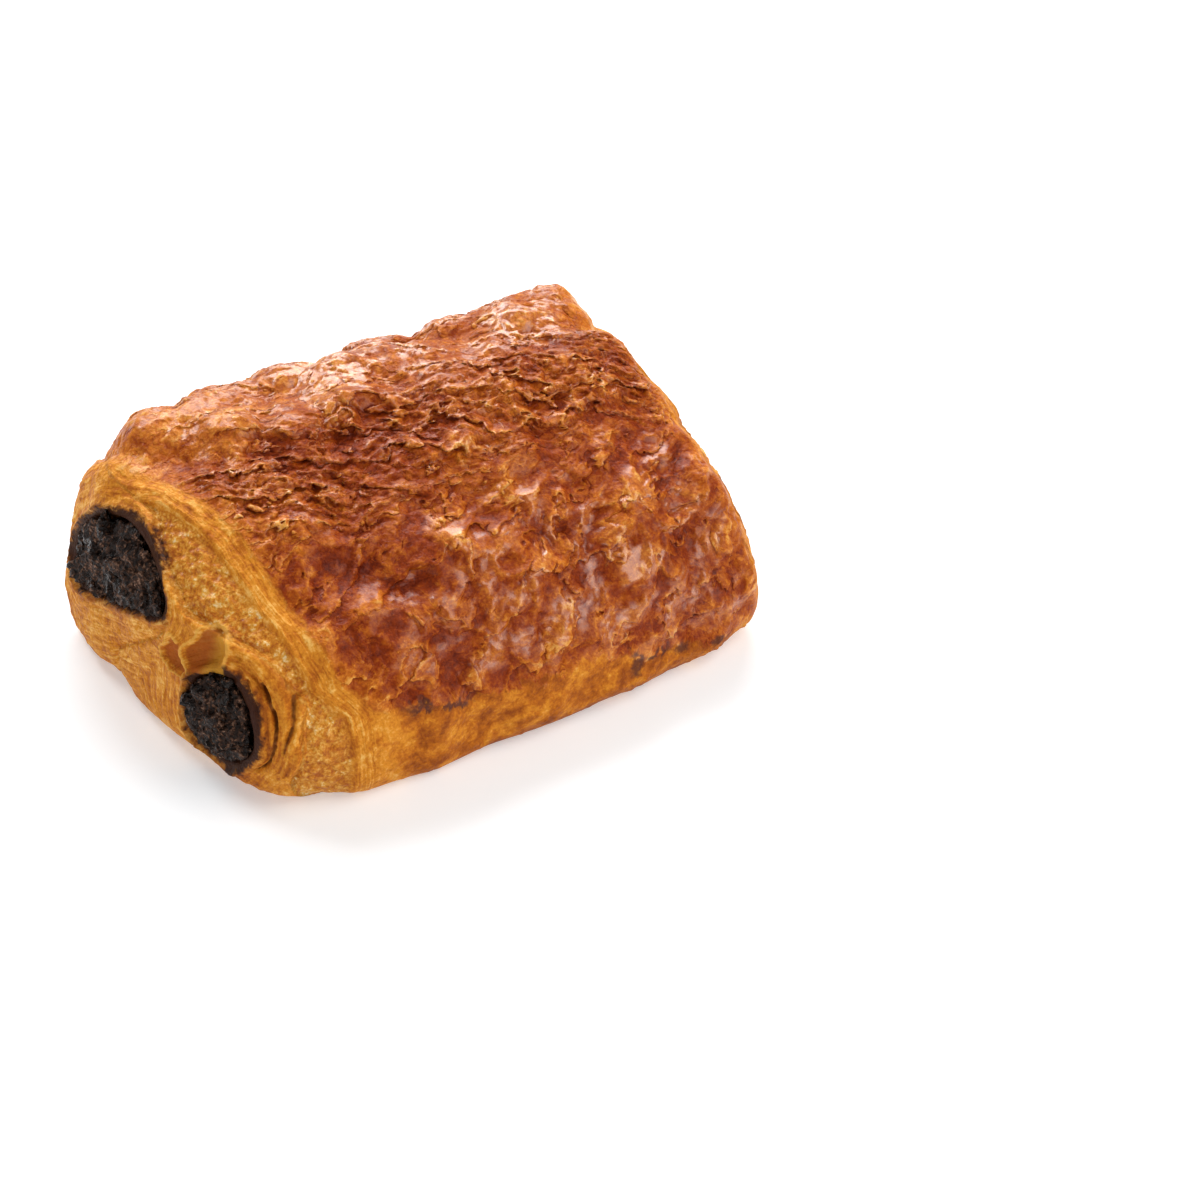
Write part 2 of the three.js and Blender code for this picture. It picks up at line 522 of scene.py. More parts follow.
def mark_dough(obj):
    """Stores on the form what its relief and finish go by, all in mm.

    brushed is how far a point is inside the glaze, end how far past its edge on a cut end, and
    sweep how far round the skin. rear_bar, front_bar and wrap are distances outside the bars'
    outlines and the coils, flow is where a point is across its layers, and groove and pocket are
    the depth of the slits and the dents of the pockets.
    """
    mesh = obj.data
    place = points_of(mesh)
    x, section = place[:, 0], place[:, 1:]
    degrees = np.degrees(np.arctan2(section[:, 1] - AXIS_Z, section[:, 0] - AXIS_Y))
    near = x - read_round(NEAR_GLAZE_EDGE, degrees)
    far = read_round(FAR_GLAZE_EDGE, degrees) - x
    foot = np.where(section[:, 0] < 0, read_along(FRONT_GLAZE_FOOT, x), REAR_GLAZE_FOOT)
    brushed = np.minimum(np.minimum(near, far), (section[:, 1] - foot) * 1.2)
    store(mesh, "brushed", brushed)
    store(mesh, "end", np.maximum(-near, -far))
    store(mesh, "sweep", sweep_round(x, section, degrees))
    bar_gaps = []
    for name, outline in zip(("rear_bar", "front_bar"), BAR_OUTLINES):
        gap, side = distance_to_curve(section, curve_points(outline, closed=True))
        bar_gaps.append(gap * side)
        store(mesh, name, bar_gaps[-1])
    gap, side = distance_to_curve(section, curve_points(WRAP_BORDER))
    wrap = np.where(np.abs(x) > CUT_END_FROM, gap * side, FAR_OFF)
    store(mesh, "wrap", wrap)
    from_edge = EDGE_LAYERS_AT + np.maximum(-near, -far)
    store(mesh, "flow", np.where(wrap < 0, np.minimum(*bar_gaps), from_edge))
    groove = np.zeros(len(x))
    for line, depth, width in SLITS:
        gap, _ = distance_to_curve(section, curve_points(line))
        groove = np.maximum(groove, depth * np.exp(-((gap / width) ** 2)))
    store(mesh, "groove", np.where(x < -CUT_END_FROM, groove, 0.0))
    swell = np.zeros(len(x))
    for centre, radius, depth in POCKETS:
        from_centre = section - np.array(centre)
        bearing = np.arctan2(from_centre[:, 1], from_centre[:, 0])
        uneven = 1 + 0.13 * np.sin(3 * bearing - 3.1) + 0.06 * np.sin(5 * bearing + 2)
        share = np.linalg.norm(from_centre, axis=1) / radius / uneven
        dent = -depth * np.clip(1 - share**2, 0, 1) ** 0.7
        raised = POCKET_RIM_HEIGHT * np.exp(-(((share - 1.06) / 0.11) ** 2))
        swell = np.where(share < 1.35, dent + raised, swell)
    store(mesh, "pocket", np.where(x < -CUT_END_FROM, swell, 0.0))


# ------------------------------------------------------------------ geometry node trees
def new_node_group(name, numbers):
    """A geometry node group with a mesh in and out, and one named input for each number."""
    group = bpy.data.node_groups.new(name, "GeometryNodeTree")
    group.interface.new_socket("Geometry", in_out="INPUT", socket_type="NodeSocketGeometry")
    for label, value in numbers.items():
        socket = group.interface.new_socket(label, in_out="INPUT", socket_type="NodeSocketFloat")
        socket.default_value = value
    group.interface.new_socket("Material", in_out="INPUT", socket_type="NodeSocketMaterial")
    group.interface.new_socket("Geometry", in_out="OUTPUT", socket_type="NodeSocketGeometry")
    net = Net(group)
    given = net.node("NodeGroupInput", output=None)
    inputs = {socket.name: Value(net, socket) for socket in given.outputs if socket.name}
    return group, net, inputs


def finish_group(net, inputs, geometry):
    realized = net.node("GeometryNodeRealizeInstances", None, {"Geometry": geometry})
    painted = net.node(
        "GeometryNodeSetMaterial", None, {"Geometry": realized, "Material": inputs["Material"]}
    )
    net.node("NodeGroupOutput", None, {0: painted}, None)


def run_group(obj, group, numbers, material):
    """Runs a node group on an object and keeps the result as its plain mesh."""
    modifier = obj.modifiers.new(group.name, "NODES")
    modifier.node_group = group
    for item in group.interface.items_tree:
        if item.in_out == "INPUT" and item.name in numbers:
            modifier[item.identifier] = numbers[item.name]
        if item.in_out == "INPUT" and item.name == "Material":
            modifier[item.identifier] = material
    bake_modifiers(obj)


def attribute(net, name):
    return net.node("GeometryNodeInputNamedAttribute", {"data_type": "FLOAT"}, {"Name": name})


CRUST_SIZES = {
    "Swell width": 17.0,
    "Swell height": 7.0,
    "Ledge width": 6.5,
    "Ledge height": 1.1,
    "Wrinkle width": 2.7,
    "Wrinkle height": 0.5,
    "Plate height": 1.3,
    "Small plate height": 0.35,
    "Lump width": 15.0,
    "Lump height": 5.6,
    "Blob height": 0.35,
    "Crease depth": 0.45,
    "Lean": 0.8,
    "Layer pitch": 1.9,
    "Layer height": 0.42,
    "Bubble width": 1.9,
    "Bubble height": 0.55,
    "Collar height": 0.6,
    "Regain": 0.5,
}
CRUMB_EDGE = (4.4, 5.6)  # how far in from the glaze's edge the crumb of a cut end starts, in mm
# How far round the skin, in mm from under the axis, things start and are whole; the crest's also
# stop being whole and end.
FRONT_SWEEP = (116.0, 132.0)
FRONT_SHEEN_SWEEP = (122.0, 142.0)
CREST_LUMPS_SWEEP = (64.0, 74.0, 94.0, 106.0)
CREST_SHEEN_SWEEP = (60.0, 72.0, 92.0, 106.0)
TOP_GRAIN = (0.93, 0.37)  # which way the ledges run: along the roll, and round it
FRONT_GRAIN = (0.80, -0.60)
GRAIN_STRETCH = 1.45
TOP_PLATE = 4.6  # from the lip of one plate of crust to the next, in mm
FRONT_PLATE = 6.0
SMALL_PLATE = 0.5  # the smaller plates' share of that


def grain_place(net, x, sweep, grain, seed):
    """Coordinates in which things drawn out along the grain are as wide as they are long."""
    along = x * grain[0] + sweep * grain[1]
    across = sweep * grain[0] - x * grain[1]
    return net.combine(along / GRAIN_STRETCH, across, seed)


def skin_places(net, place, sweep):
    """Where a point is along the grain of the top, of the front, and of the hoops by the ends."""
    bent = net.stray(net.stray(place, 10.0, 6.4), 2.4, 1.6)
    bent_x = net.axis(bent, 0)
    push = net.axis(net.vector("SUBTRACT", bent, place), 2)
    swept = sweep + push
    top = grain_place(net, bent_x, swept, TOP_GRAIN, 3.0)
    front = grain_place(net, bent_x, swept, FRONT_GRAIN, 9.0)
    return top, front, net.combine(bent_x, swept * 0.22, 5.0)


def plates(net, place, pitch):
    """How far each point is along its own plate of crust: 0 at the root, 1 just past the lip."""
    across = net.axis(place, 1)
    return net.math("FRACT", across * 0.6 / pitch + net.noise(place, pitch * 0.9, 3.0, 0.6) * 3.6)


def plate_rise(net, share):
    """The height of a plate: a gentle rise, then a sharp drop past its lip."""
    return share * net.step(share, 0.99, 0.87)


def pools(net, front_place):
    """The soft raised blobs that the glaze dried on low on the front: 1 on top, 0 between them."""
    return net.step(net.noise(front_place, 4.6, 2.0, 0.5), 0.42, 0.57)


def plate_cover(net, place):
    """Where the crust has broken into plates."""
    broad = net.step(net.noise(place, 11.0, 2.0), 0.3, 0.48) * 0.5 + 0.5
    return broad * (net.step(net.noise(place, 4.0, 1.0), 0.36, 0.54) * 0.5 + 0.5)


def hump(net, distance, sharpness):
    """1 where the distance is nothing, falling off on both sides."""
    return net.math("EXPONENT", -distance * distance * sharpness)


def brushed_relief(net, given, place, sweep, brushed, front, crest):
    """The brushed skin's relief along its grain: the shelves, which lean over, and the whole."""
    top_place, front_place, hoop_place = skin_places(net, place, sweep)
    top_ledges = net.ridges(top_place, given["Ledge width"], 2.0, 0.45)
    front_ledges = net.ridges(front_place, given["Ledge width"], 1.0, 0.3)
    hoops = net.ridges(hoop_place, 3.4, 1.0, 0.5)
    by_end = net.step(brushed, 15.0, 6.0) * net.step(sweep, 112.0, 96.0)
    ledges = toward(toward(top_ledges, front_ledges, front), hoops, by_end)
    strength = net.step(net.noise(place, 13.0, 1.0), 0.3, 0.62) * 0.55 + 0.45

    top_plates = plate_rise(net, plates(net, top_place, TOP_PLATE))
    front_plates = plate_rise(net, plates(net, front_place, FRONT_PLATE))
    small_plates = plate_rise(net, plates(net, top_place, TOP_PLATE * SMALL_PLATE)) - 0.4
    risen = (toward(top_plates, front_plates, front) - 0.4) * given["Plate height"]
    risen = risen * plate_cover(net, place) * (1.0 - by_end * 0.7) * (1.0 - front * 0.55)
    shelf = ledges * given["Ledge height"] * strength * (1.0 + front * 0.45) + risen
    shelf = shelf + small_plates * given["Small plate height"] * (1.0 - front * 0.8)
    blobs = (pools(net, front_place) - 0.5) * front * given["Blob height"]
    shelf = shelf * (1.0 - crest * 0.7) + blobs

    top_wrinkles = net.ridges(top_place, given["Wrinkle width"], 2.0, 0.5)
    front_wrinkles = net.ridges(front_place, given["Wrinkle width"], 1.0, 0.4)
    wrinkles = toward(top_wrinkles, front_wrinkles, front)
    creases = net.larger(net.ridges(net.stray(place, 3.0, 2.0), 5.2, 1.0), 0.0)
    skin = wrinkles * given["Wrinkle height"] * (1.0 - front * 0.55)
    skin = skin - creases * given["Crease depth"] * (1.0 - front * 0.4)
    return shelf, shelf + skin * (1.0 - crest * 0.4)


def cut_end_relief(net, given, place, end, wrap, nearest, coils):
    """A cut end's relief: the layers of its coils by themselves, and the whole."""
    ring = nearest + (net.noise(place, 9.0, 2.0) - 0.5) * 2.6
    broken = net.step(net.noise(place, 4.0, 2.0), 0.32, 0.6)
    layers = net.math("FRACT", ring / given["Layer pitch"])
    layers = (layers * net.step(layers, 1.0, 0.75) - 0.4) * given["Layer height"] * broken
    strata_place = net.combine(ring / 0.9, net.axis(place, 1) * 0.14, net.axis(place, 2) * 0.14)
    layers = layers + (net.noise(strata_place, 1.0, 2.0) - 0.5) * 0.9

    lumpy = net.stray(place, 2.6, 1.6)
    domes = net.step(net.cells(lumpy, given["Bubble width"]), 0.75, 0.15) - 0.6
    crumb = domes * given["Bubble height"] + (net.noise(place, 3.4, 3.0) - 0.5) * 0.9
    crumb = crumb * (1.0 - coils) * net.step(end, *CRUMB_EDGE)

    # the edge band outside the crumb, and the outer wrap's lip over the coils
    edge_ring = end + (net.noise(place, 8.0, 2.0) - 0.5) * 1.6
    bands = (net.math("PINGPONG", edge_ring, 0.8) - 0.4) * 0.3 * net.step(end, 5.0, 4.2)
    step_down = net.step(edge_ring, 4.2, 5.2) * -0.8 * (1.0 - coils)
    lip = hump(net, wrap + 0.7, 1.5) * 0.7 - hump(net, wrap - 0.3, 9.0) * 0.5
    relief = layers * coils + crumb + step_down + lip * net.step(end, 3.5, 5.0) + bands

    wander = net.step(net.noise(place, 2.2, 2.0), 0.32, 0.62) * 0.9 + 0.15
    relief = relief - attribute(net, "groove") * wander + attribute(net, "pocket")
    collar = net.step(nearest, 2.2, 0.9) * given["Collar height"]
    return layers, relief + collar * (0.4 + net.noise(place, 2.2, 2.0) * 1.2)


def make_crust_group():
    """Raises the crust: broad swells, lumps on the crest, the brushed skin and the cut ends."""
    group, net, given = new_node_group("crust relief", CRUST_SIZES)
    place = net.vector("SCALE", net.node("GeometryNodeInputPosition"), scale=1 / MM)
    normal = net.node("GeometryNodeInputNormal")
    brushed = attribute(net, "brushed")
    end = attribute(net, "end")
    wrap = attribute(net, "wrap")
    sweep = attribute(net, "sweep")
    nearest = net.smaller(attribute(net, "rear_bar"), attribute(net, "front_bar"))
    above_plane = net.axis(place, 2)

    front = net.step(sweep, *FRONT_SWEEP)
    crest = net.within(sweep, *CREST_LUMPS_SWEEP)
    glazed = net.step(brushed, -1.0, 3.0)
    cut = net.step(end, 0.0, 3.0)
    coils = net.step(wrap, 0.5, -0.5)

    shelf, skin = brushed_relief(net, given, place, sweep, brushed, front, crest)
    skin = skin * glazed
    layers, ends = cut_end_relief(net, given, place, end, wrap, nearest, coils)
    swells = (net.noise(place, given["Swell width"], 1.0) - 0.57) * given["Swell height"]
    lumps = net.cells(net.stray(place, 9.0, 5.0), given["Lump width"])
    lumps = (0.42 - lumps) * given["Lump height"]
    plain = (net.noise(place, 4.0, 2.0) - 0.5) * 0.8 + (net.noise(place, 1.3, 2.0) - 0.5) * 0.22
    blebs = net.step(net.cells(net.stray(place, 2.0, 1.2), 1.5), 0.5, 0.1) * 0.35
    plain = plain + blebs * net.step(net.noise(place, 6.0, 1.0), 0.42, 0.6)
    height = swells + lumps * crest + skin + plain * (1.0 - glazed * 0.6) + given["Regain"]
    height = height * (1.0 - cut * 0.55) + ends * cut

    # little relief where the roll rests, and none in the channels
    held = net.step(above_plane, 0.5, 5.0)
    outside = net.step(nearest, 0.5, 1.2)
    foot = net.step(above_plane, 14.0, 3.0)
    height = (height * (0.25 + held * 0.75) + foot * given["Regain"] * 1.4) * outside
    downhill = net.vector("CROSS_PRODUCT", (1.0, 0.0, 0.0), normal)
    downhill = net.vector("ADD", downhill, (-0.35, 0.0, 0.0))
    leaning = net.vector("SCALE", downhill, scale=shelf * glazed * held * outside * given["Lean"])
    offset = net.vector("ADD", net.vector("SCALE", normal, scale=height), leaning)

    geometry = given["Geometry"]
    for name, kind, value in (
        ("ridge", "FLOAT", skin),
        ("coiled", "FLOAT", coils),
        ("layer", "FLOAT", layers),
        ("unraised", "FLOAT_VECTOR", place),
    ):
        geometry = net.node(
            "GeometryNodeStoreNamedAttribute",
            {"data_type": kind, "domain": "POINT"},
            {"Geometry": geometry, "Name": name, "Value": value},
        )
    inputs = {"Geometry": geometry, "Offset": net.vector("SCALE", offset, scale=MM)}
    finish_group(net, given, net.node("GeometryNodeSetPosition", None, inputs))
    return group


# ------------------------------------------------------------------ the dough
FOOT_SPREAD = 2.7  # how far the front foot spreads along the middle of the roll, in mm
FOOT_SINK = 1.3


def ease(values, low, high):
    """0 below low, 1 above high, smooth between. low may be above high."""
    share = np.clip((values - low) / (high - low), 0, 1)
    return share * share * (3 - 2 * share)


def spread_foot(obj):
    """Lets the dough's front foot settle outwards, as soft dough does before it bakes."""
    place = points_of(obj.data)
    share = ease(place[:, 1], -22, -32) * ease(place[:, 2], 10, 2)
    share = share * ease(place[:, 0], -46, -30) * ease(place[:, 0], 50, 36)
    place[:, 1] -= share * FOOT_SPREAD
    place[:, 2] = np.maximum(place[:, 2] - share * FOOT_SINK, 0)
    obj.data.vertices.foreach_set("co", (place * MM).astype(np.float32).ravel())
    obj.data.update()


def make_dough_form():
    """The roll's form with its facets smoothed out, and its two channels."""
    mesh = bpy.data.meshes.new("dough")
    merged_copy("baked_dough").to_mesh(mesh)
    made = new_object("dough", mesh)
    remesh(made, FORM_VOXEL)
    smooth(made, FORM_SMOOTHING)
    spread_foot(made)
    remesh(made, FINE_VOXEL)
    smooth(made, 2)
    return made


def rest_flat(obj):
    """Presses what the relief pushed under the resting plane back onto it."""
    place = np.empty(len(obj.data.vertices) * 3, np.float32)
    obj.data.vertices.foreach_get("co", place)
    place = place.reshape(-1, 3)
    place[:, 2] = np.maximum(place[:, 2], 0.0)
    obj.data.vertices.foreach_set("co", place.ravel())


def make_dough(finish):
    dough = make_dough_form()
    mark_dough(dough)
    run_group(dough, make_crust_group(), CRUST_SIZES, finish)
    rest_flat(dough)
    thin_out(dough, MOST_TRIANGLES)
    shade_smooth(dough)
    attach(dough, "root")
    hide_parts("baked_dough")


# ------------------------------------------------------------------ the crust's finish
GLAZE_TONES = [
    (0.0, (0.110, 0.010, 0.001)),
    (0.3, (0.230, 0.031, 0.002)),
    (0.55, (0.370, 0.080, 0.005)),
    (0.8, (0.560, 0.170, 0.014)),
    (1.0, (0.700, 0.320, 0.060)),
]
DOUGH_TONES = [
    (0.0, (0.250, 0.056, 0.004)),
    (0.35, (0.450, 0.128, 0.008)),
    (0.65, (0.650, 0.248, 0.020)),
    (1.0, (0.850, 0.500, 0.130)),
]
CRUMB_TONES = [
    (0.0, (0.370, 0.090, 0.006)),
    (0.4, (0.580, 0.210, 0.016)),
    (0.68, (0.730, 0.370, 0.060)),
    (1.0, (0.900, 0.720, 0.400)),
]
SCORCHED = (0.022, 0.007, 0.005)
CAUGHT = (0.075, 0.022, 0.014)
TOASTED = (0.22, 0.055, 0.007)
# Where sugar caught on the glaze's edge low on the front, along X: from, whole, whole to, end.
CAUGHT_STRETCHES = [(-34.0, -29.0, -15.0, -10.0), (18.0, 21.0, 27.0, 30.0)]
# Where it caught on the band beneath: X and Z, then half the width and height, in mm.
CAUGHT_SPOTS = [((20.6, 7.6), (1.3, 2.1)), ((30.8, 6.9), (1.8, 1.0)), ((38.6, 5.6), (1.4, 0.8))]
POCKET_RIM = (0.76, 0.40, 0.07)
POCKET_DARK = (0.34, 0.078, 0.008)
POCKET_LIGHT = (0.50, 0.22, 0.020)
SLIT_SHADE = (0.11, 0.028, 0.005)


class CrustFields:
    """What the crust's finish is worked out from, all over the dough."""

    def __init__(self, net):
        self.place = object_place(net)
        self.x = net.axis(self.place, 0)
        self.y = net.axis(self.place, 1)
        self.z = net.axis(self.place, 2)
        self.brushed = stored(net, "brushed")
        self.end = stored(net, "end")
        self.sweep = stored(net, "sweep")
        self.front_bar = stored(net, "front_bar")
        self.nearest = net.smaller(stored(net, "rear_bar"), self.front_bar)
        self.front = net.step(self.sweep, *FRONT_SWEEP)
        self.crest = net.within(self.sweep, *CREST_SHEEN_SWEEP)
        self.crumb = net.step(self.end, *CRUMB_EDGE) * (1.0 - stored(net, "coiled"))

        # unevenness from wide to fine, each from -0.5 to 0.5
        self.broad = net.noise(self.place, 16.0, 2.0) - 0.5
        self.patches = net.noise(net.stray(self.place, 6.0, 4.0), 5.5, 3.0) - 0.5
        self.specks = net.noise(self.place, 1.5, 3.0, 0.6) - 0.5
        self.fine = net.noise(self.place, 0.5, 2.0, 0.6) - 0.5
        self.bubbles = net.cells(net.stray(self.place, 1.5, 0.8), 1.1)

        # the plates of crust, worked out where their relief was
        unraised = net.node("ShaderNodeAttribute", {"attribute_name": "unraised"}, None, "Vector")
        top_place, self.front_place, _ = skin_places(net, unraised, self.sweep)
        top_share = plates(net, top_place, TOP_PLATE)
        front_share = plates(net, self.front_place, FRONT_PLATE)
        share = toward(top_share, front_share, net.step(self.front, 0.45, 0.55))
        small = plates(net, top_place, TOP_PLATE * SMALL_PLATE)
        self.cover = plate_cover(net, unraised)
        self.rise = plate_rise(net, share)
        self.small_rise = plate_rise(net, small)
        # lips carry a painted highlight and pits painted shade into the glaze's colour; both also set
        # the coat
        lips = net.within(share, 0.6, 0.84, 0.88, 0.93) * self.cover
        lips = lips + net.within(small, 0.6, 0.84, 0.88, 0.94) * 0.6
        self.lips = lips * (1.0 - self.crest * 0.6)
        self.pits = (net.step(share, 0.9, 0.97) + net.step(share, 0.1, 0.0)) * self.cover
        self.small_pits = net.step(small, 0.82, 0.97) + net.step(small, 0.12, 0.0)
        self.small_share = (1.0 - self.front * 0.8) * (1.0 - self.crest * 0.6)
        self.pooled = pools(net, self.front_place)


def glaze_colour(net, on):
    """Egg glaze, with painted light: painted highlights on the plates' lips, the crest and the
    front's pools, painted shade in the pits and the skin's creases.
    """
    # crest * 0.2 is a painted sheen on the crest; ridge * 0.15 is painted shade, lighter on the
    # skin's ridges and darker in its creases
    tone = 0.455 - on.front * 0.05 + on.crest * 0.2 + stored(net, "ridge") * 0.15
    tone = tone + on.broad * 0.6 + on.patches * 0.6 + on.specks * 0.9 + on.fine * 0.5
    # painted highlight on the plates' lips, painted shade in their pits and in the small plates' pits
    tone = tone + on.lips * 0.22 - on.pits * (1.0 - on.front * 0.6) * 0.14
    tone = tone - on.small_pits * on.small_share * 0.1
    # the pooled term is a painted highlight: the glaze is lighter where its gloss pools low on the
    # front; the rest makes the front lighter towards the far end
    low_front = (on.pooled - 0.5) * 0.17 + net.step(on.x, -34.0, 14.0) * 0.14 - 0.06
    near_edge = net.step(on.brushed, 6.0, 0.0) * net.step(on.end, -9.0, -2.0)
    return ramp(net, tone + on.front * low_front + near_edge * 0.16, GLAZE_TONES)


def bare_colour(net, on, strata):
    """Dough that wasn't brushed: streaked low down, layered on the ends with painted shade in the
    layers' dips, and crumb with painted highlights on its bubbles.
    """
    low = net.step(on.end, -2.0, -8.0)
    streaks = (net.noise(on.front_place, 3.4, 3.0, 0.6) - 0.5) * low
    by_front_bar = net.step(on.front_bar, 8.0, 2.0) * net.step(on.y, -14.0, -22.0)
    # the layer term is painted shade: the tone follows the layers' relief and is darker in their dips
    tone = 0.57 + on.patches * 0.8 + on.specks * 0.9 + on.fine * 0.6 + stored(net, "layer") * 0.3
    tone = tone + strata * 1.2 + streaks * 1.5 - low * 0.25 - by_front_bar * 0.15
    dough = ramp(net, tone, DOUGH_TONES)
    # the bubbles term is a painted highlight: each bubble of crumb is lighter in its middle and
    # darker at its edge
    tone = 0.68 + on.patches * 0.7 + on.specks * 1.6 + on.fine * 1.2 - on.bubbles * 0.5
    return net.blend(on.crumb, dough, ramp(net, tone, CRUMB_TONES))


def catch_front(net, on, edge, low, colour_now):
    """Darkens stretches of the glaze's edge low on the front, and spots beneath it."""
    here = sum(net.within(on.x, *stretch) for stretch in CAUGHT_STRETCHES)
    caught = net.within(edge, -0.9, 0.2, 0.7, 2.0) * low * here
    caught = caught * net.step(net.noise(on.place, 2.8, 1.0), 0.36, 0.46)
    colour_now = net.blend(caught * 0.85, colour_now, CAUGHT)
    for (spot_x, spot_z), (half_width, half_height) in CAUGHT_SPOTS:
        aside = net.combine((on.x - spot_x) / half_width, (on.z - spot_z) / half_height, 0.0)
        reach = net.vector("LENGTH", aside, output="Value") + on.specks * 2.0 + on.patches * 1.6
        spot = net.step(reach, 1.3, 0.4) * net.step(on.y, -20.0, -25.0)
        colour_now = net.blend(spot * 0.8, colour_now, CAUGHT)
    return colour_now


def scorch_ends(net, on, colour_now):
    """Toasts and scorches the rims round the bars, colours the pockets, and paints shade into the
    slits.
    """
    on_end = net.step(on.end, 1.0, 3.0)
    skewed = on.nearest + on.specks * 2.2 + on.patches * 2.4
    halo = net.step(skewed, 2.6, 0.6) * on_end
    colour_now = net.blend(halo * 0.7, colour_now, TOASTED)
    upper = net.step(on.z - 25.0 + (on.y + 5.0) * 0.24, 0.0, 3.0)
    charred = net.larger(upper, net.step(on.y, -18.0, -22.0)) * 0.5
    rim = net.step(skewed - charred + on.fine * 0.8, 1.1, 0.2) * on_end
    colour_now = net.blend(rim * 0.92, colour_now, SCORCHED)

    pocket = stored(net, "pocket") + on.fine * 0.3
    raised = net.step(pocket, 0.1, 0.5) * net.step(on.nearest, 0.8, 2.0)
    colour_now = net.blend(raised * 0.7, colour_now, POCKET_RIM)
    lining = net.blend(net.step(on.y, -14.5, -17.5), POCKET_DARK, POCKET_LIGHT)
    colour_now = net.blend(net.step(pocket, -0.1, -0.7) * 0.9, colour_now, lining)
    # painted shade down the slits between the layers
    slit = net.step(stored(net, "groove") + on.specks * 0.8, 0.6, 1.3)
    return net.blend(slit * 0.8, colour_now, SLIT_SHADE)


def crust_gloss(net, on):
    """The glaze's sheen: pools low on the front, softer on the crest, little between them."""
    far_side = net.step(on.x, -30.0, 5.0) * 0.9 + 0.1
    shine = 0.08 + net.step(on.sweep, *FRONT_SHEEN_SWEEP) * 0.92 * far_side
    shine = shine + on.crest * (0.2 + far_side * 0.6)
    shine = shine * (net.step(on.brushed, 1.0, 8.0) * 0.6 + 0.4)
    dry = net.step(on.patches + on.broad + on.crest * 0.06, -0.1, 0.1)
    wet = on.pooled * net.step(on.patches, -0.14, 0.05) * 0.92 + 0.08
    shiny = toward(dry, wet, on.front) * shine + on.lips * (1.0 - on.front) * 0.45
    return shiny * (1.0 - net.smaller(on.pits, 1.0) * 0.8)


def crust_bump(net, on, glazed, strata):
    """Sharpens the plates and layers, and adds what is finer than the mesh, in mm."""
    creases = net.ridges(net.stray(on.place, 1.2, 0.8), 1.6, 3.0, 0.6) * (1.0 - on.front * 0.5)
    risen = on.rise * on.cover * 0.3 + on.small_rise * on.small_share * 0.28
    bump = creases * 0.13 + risen * glazed + on.fine * 0.18 + on.specks * 0.25
    bump = bump + strata * 0.5 * (1.0 - on.crumb)
    return bump + ((0.5 - on.bubbles) * 0.4 + on.fine * 0.3) * on.crumb


def crust_material():
    """Egg glaze over baked dough, bare dough at the foot and ends, crumb and scorched rims."""
    material, net = new_material("crust")
    on = CrustFields(net)
    flow = stored(net, "flow") + on.patches * 1.6
    strata_place = net.combine(flow / 0.55, on.y * 0.16, on.z * 0.16)
    strata = (net.noise(strata_place, 1.0, 3.0, 0.6) - 0.5) * net.step(on.end, -2.0, 2.0)

    low = net.step(on.end, -3.0, -8.0)
    teeth = (net.noise(on.front_place, 2.6, 3.0, 0.6) - 0.5) * 8.0 * low
    edge = on.brushed + on.patches * 3.2 + on.specks * 2.4 + teeth
    glazed = net.step(edge, -0.5, 0.6)
    colour_now = net.blend(glazed, bare_colour(net, on, strata), glaze_colour(net, on))
    colour_now = catch_front(net, on, edge, low, colour_now)
    inputs = {
        "Base Color": scorch_ends(net, on, colour_now),
        "Roughness": 0.56 - glazed * 0.1 + on.specks * 0.3,
        "Coat Weight": glazed * crust_gloss(net, on) * 0.95 + on.crumb * 0.15,
        "Coat Roughness": 0.21,
        "Coat IOR": 1.6,
        "Specular IOR Level": 0.1,
        "Normal": bumped(net, crust_bump(net, on, glazed, strata), 0.8),
    }
    finish_material(net, inputs)
    return material


# ------------------------------------------------------------------ the chocolate
SHARD_WIDTH = 3.6  # of the broken faces of the chocolate, in mm

CHOCOLATE_TONES = [
    (0.0, (0.004, 0.002, 0.001)),
    (0.42, (0.016, 0.007, 0.004)),
    (0.64, (0.060, 0.025, 0.013)),
    (0.82, (0.180, 0.090, 0.052)),
    (1.0, (0.330, 0.190, 0.130)),
]


def chocolate_material():
    """Dark chocolate that melted, set dull and crumbled, each broken face in its own shade."""
    material, net = new_material("chocolate")
    place = object_place(net)
    lumps = net.noise(place, 3.0, 3.0) - 0.5
    grit = net.noise(place, 0.7, 3.0, 0.6) - 0.5
    faces = net.cells(net.stray(place, 3.0, 1.0), SHARD_WIDTH, output="Color")
    shade = net.axis(faces, 1) - 0.5
    crumbs = net.ridges(net.stray(place, 1.2, 0.8), 1.3, 2.0, 0.6)
    tone = 0.43 + lumps * 0.7 + grit * 2.0 + shade * 0.3 + crumbs * 0.2
    inputs = {
        "Base Color": ramp(net, tone, CHOCOLATE_TONES),
        "Roughness": 0.34 + grit * 0.6 + shade * 0.4,
        "Specular IOR Level": 0.17,
        "Normal": bumped(net, crumbs * 0.45 + grit * 0.6, 0.9),
    }
    finish_material(net, inputs)
    return material


CHOCOLATE_SIZES = {
    "Lump width": 5.0,
    "Lump height": 1.6,
    "Shard height": 0.7,
    "Shard tilt": 0.85,
    "Grit width": 1.5,
    "Grit height": 0.5,
    "Bulge": 0.1,
    "Gap": 0.15,
    "Far end sink": 0.8,
}


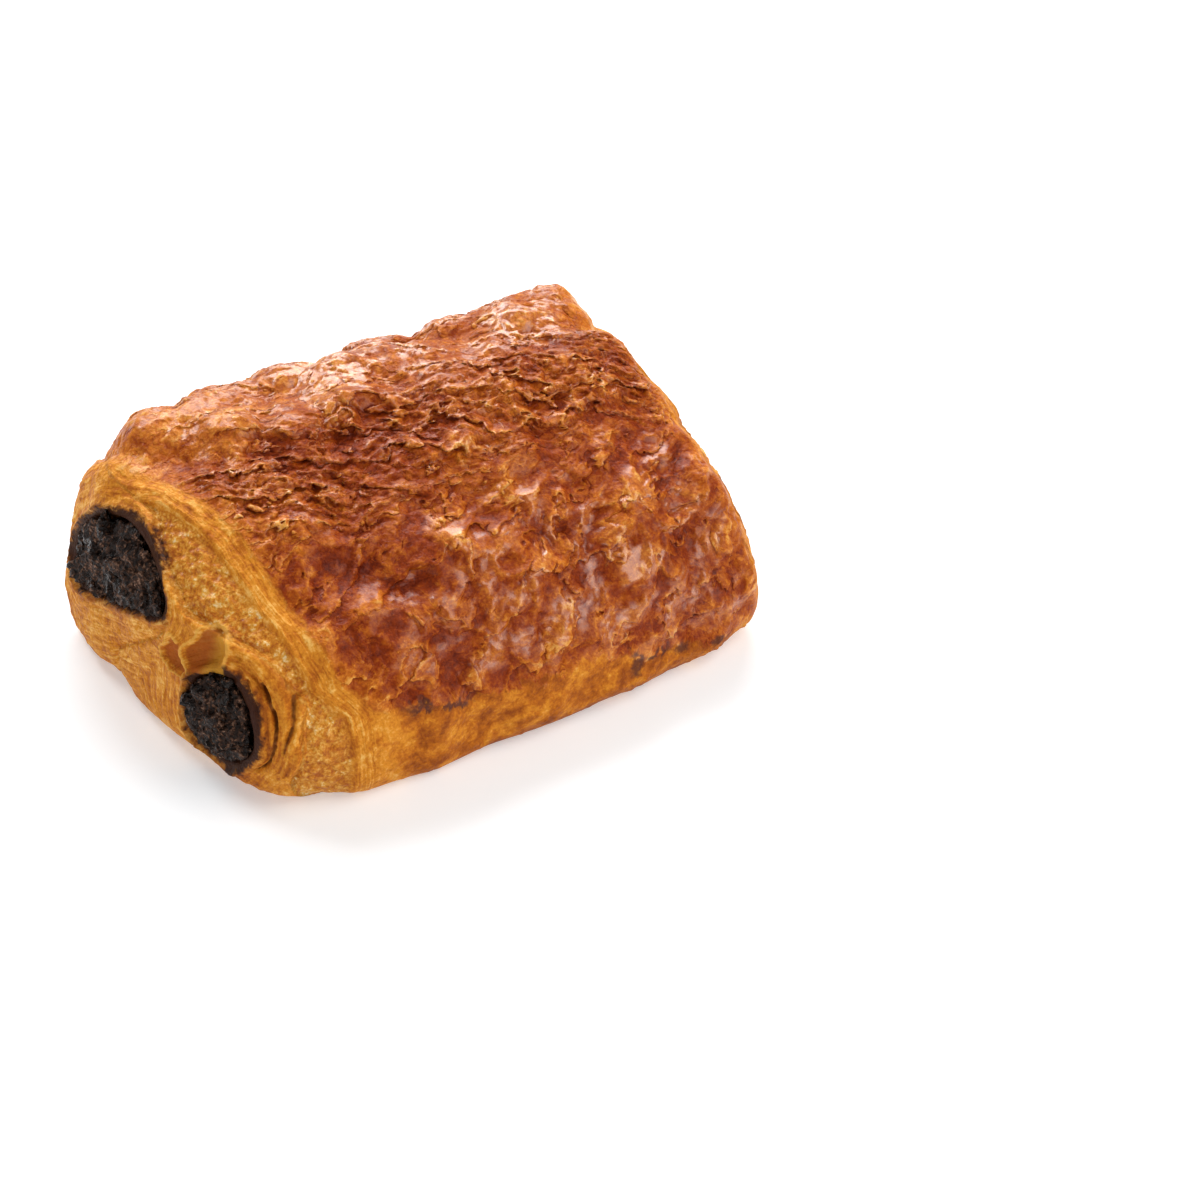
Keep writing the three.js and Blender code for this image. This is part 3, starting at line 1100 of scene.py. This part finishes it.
def make_chocolate_group():
    """Roughens a bar's ends: lumps, broken faces and crumbling grit."""
    group, net, given = new_node_group("crumbled chocolate", CHOCOLATE_SIZES)
    place = net.vector("SCALE", net.node("GeometryNodeInputPosition"), scale=1 / MM)
    normal = net.node("GeometryNodeInputNormal")
    lumps = (net.noise(place, given["Lump width"], 2.0) - 0.5) * given["Lump height"]
    grit = net.ridges(net.stray(place, 2.0, 1.5), given["Grit width"], 2.0, 0.5)

    # each broken face has its own height and leans its own way
    strayed = net.stray(place, 3.0, 1.0)
    middle = net.cells(strayed, SHARD_WIDTH, output="Position")
    lean = net.cells(strayed, SHARD_WIDTH, output="Color")
    lean = net.vector("SUBTRACT", lean, (0.5, 0.5, 0.5))
    from_middle = net.vector("SUBTRACT", strayed, middle)
    facets = net.vector("DOT_PRODUCT", from_middle, lean, output="Value")
    shards = net.axis(lean, 0) * given["Shard height"] + facets * given["Shard tilt"]

    x = net.axis(place, 0)
    at_end = net.step(abs(x), HALF_LENGTH - 9.0, HALF_LENGTH - 5.0)
    bulge = net.step(x, 4.0 - HALF_LENGTH, 2.5 - HALF_LENGTH) * given["Bulge"]
    sunk = net.step(x, HALF_LENGTH - 14.0, HALF_LENGTH - 6.0) * given["Far end sink"]
    height = lumps + shards + grit * given["Grit height"] + bulge
    height = height * at_end - given["Gap"] - sunk
    offset = net.vector("SCALE", normal, scale=height * MM)
    inputs = {"Geometry": given["Geometry"], "Offset": offset}
    finish_group(net, given, net.node("GeometryNodeSetPosition", None, inputs))
    return group


def make_chocolate(bar, group, finish):
    mesh = bpy.data.meshes.new(bar)
    merged_copy(bar).to_mesh(mesh)
    piece = new_object(bar.replace("chocolate_bar", "melted_bar"), mesh)
    remesh(piece, CHOCOLATE_VOXEL)
    smooth(piece, 4)
    run_group(piece, group, CHOCOLATE_SIZES, finish)
    thin_out(piece, CHOCOLATE_TRIANGLES)
    shade_smooth(piece)
    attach(piece, "root")
    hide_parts(bar)


# ------------------------------------------------------------------ the scene
make_camera()
make_studio()
make_dough(crust_material())
dark = chocolate_material()
crumbled = make_chocolate_group()
for bar in BARS:
    make_chocolate(bar, crumbled, dark)
